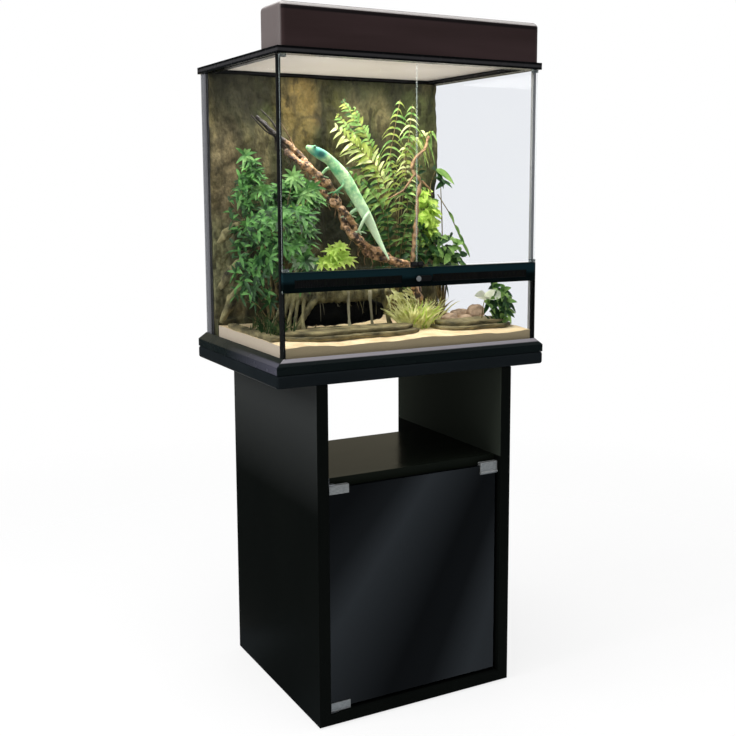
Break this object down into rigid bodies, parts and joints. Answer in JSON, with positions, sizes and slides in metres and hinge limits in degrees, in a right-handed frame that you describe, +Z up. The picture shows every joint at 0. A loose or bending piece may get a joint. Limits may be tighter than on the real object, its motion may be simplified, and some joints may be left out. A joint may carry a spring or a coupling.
{
  "type": "terrarium cabinet",
  "caption": "Glass terrarium with front doors, planting and a light canopy on a black stand with an open shelf bay and a smoked glass door.",
  "frame": {"origin": "on the floor under the middle of the stand", "axes": "+X to the right seen from the front, +Y to the back, +Z up; the doors face -Y"},
  "size_m": [0.632, 0.462, 1.4463],
  "materials": {
    "stand_panel": "black satin laminate on board",
    "slab_laminate": "black satin laminate on board",
    "cam_plastic": "dark grey caps",
    "zinc": "zinc plated",
    "beech": "raw turned beech",
    "black_plastic": "black, moulded",
    "glossy_black": "black, polished",
    "smoked_glass": "smoked, tempered",
    "clear_glass": "clear float glass",
    "satin_steel": "satin chrome",
    "grey_trim": "smoke grey, translucent",
    "black_rubber": "black silicone",
    "mesh_steel": "bright woven wire",
    "canopy_paint": "dark brown moulding",
    "white_reflector": "white enamel",
    "tube_white": "white phosphor tube with metal caps",
    "white_plastic": "white moulding",
    "clear_plastic": "clear, moulded",
    "red_plastic": "red rocker",
    "rock_foam": "painted rock relief",
    "sand": "pale loose sand",
    "stone": "rough stone",
    "bark": "red-brown bark",
    "root_wood": "dark roots",
    "figure_green": "pale green, lightly scaled",
    "leaf_dark": "dark green leaves",
    "leaf_lime": "yellow-green leaves",
    "leaf_mid": "mid green leaves"
  },
  "bodies": {
    "cabinet": {"furniture_glides": "black_plastic", "bottom_panel": "stand_panel", "left_side_panel": "stand_panel", "right_side_panel": "stand_panel", "shelf": "stand_panel", "back_panel": "stand_panel", "top_slab": "slab_laminate", "cam_locks": "cam_plastic", "cam_bolts": "zinc", "panel_dowels": "beech", "shelf_pins": "zinc", "stand_hinge_brackets": "zinc", "door_catch": "black_plastic", "base_frame": "glossy_black", "floor_glass": "clear_glass", "back_glass": "clear_glass", "left_glass": "clear_glass", "right_glass": "clear_glass", "lower_front_glass": "clear_glass", "silicone_seams": "black_rubber", "left_edge_trim": "black_plastic", "right_edge_trim": "grey_trim", "vent_strip": "glossy_black", "vent_grille": "black_plastic", "top_frame": "glossy_black", "rock_background": "rock_foam", "sand_bed": "sand", "stone_ledges": "stone", "root_cave": "root_wood", "stones": "stone", "liana": "bark", "lizard_figure": "figure_green", "bush": "leaf_dark", "ferns": "leaf_lime", "climber": "leaf_mid", "low_plants": "leaf_lime"},
    "stand_door": {"stand_door_glass": "smoked_glass", "stand_door_clips": "satin_steel", "stand_door_handle": "satin_steel"},
    "left_door": {"left_door_glass": "clear_glass", "left_door_shoes": "clear_plastic", "left_door_grip": "black_plastic"},
    "right_door": {"right_door_glass": "clear_glass", "right_door_shoes": "clear_plastic", "right_door_grip": "black_plastic"},
    "lock": {"lock_tab": "black_plastic", "lock_face": "satin_steel"},
    "screen_lid": {"screen_frame": "black_plastic", "screen_mesh": "mesh_steel"},
    "left_clip": {"left_screen_clip": "black_plastic"},
    "right_clip": {"right_screen_clip": "black_plastic"},
    "canopy": {"canopy_shell": "canopy_paint", "gear_tray": "white_reflector", "lamp_tubes": "tube_white", "lamp_holders": "white_plastic", "ballast": "white_reflector", "clear_cover": "clear_plastic", "switch_housing": "black_plastic", "cord_gland": "black_rubber"},
    "rocker": {"switch_rocker": "red_plastic"}
  },
  "joints": [
    {"name": "stand_door_hinge", "type": "hinge", "parent": "cabinet", "child": "stand_door", "pos_m": [-0.197, -0.216, 0.268], "axis": [0, 0, -1], "range_deg": [0, 100]},
    {"name": "left_door_hinge", "type": "hinge", "parent": "cabinet", "child": "left_door", "pos_m": [-0.293, -0.2195, 1.145], "axis": [0, 0, -1], "range_deg": [0, 110]},
    {"name": "right_door_hinge", "type": "hinge", "parent": "cabinet", "child": "right_door", "pos_m": [0.293, -0.2195, 1.145], "axis": [0, 0, 1], "range_deg": [0, 110]},
    {"name": "lock_turn", "type": "hinge", "parent": "cabinet", "child": "lock", "pos_m": [0, -0.226, 0.918], "axis": [0, -1, 0], "range_deg": [0, 90]},
    {"name": "screen_lift", "type": "slide", "parent": "cabinet", "child": "screen_lid", "axis": [0, 0, 1], "range_m": [0, 0.15]},
    {"name": "left_clip_slide", "type": "slide", "parent": "screen_lid", "child": "left_clip", "axis": [-1, 0, 0], "range_m": [0, 0.006]},
    {"name": "right_clip_slide", "type": "slide", "parent": "screen_lid", "child": "right_clip", "axis": [1, 0, 0], "range_m": [0, 0.006]},
    {"name": "canopy_lift", "type": "slide", "parent": "screen_lid", "child": "canopy", "axis": [0, 0, 1], "range_m": [0, 0.2]},
    {"name": "rocker_tip", "type": "hinge", "parent": "canopy", "child": "rocker", "pos_m": [0.22, -0.127, 1.4153], "axis": [-1, 0, 0], "range_deg": [0, 16]}
  ]
}
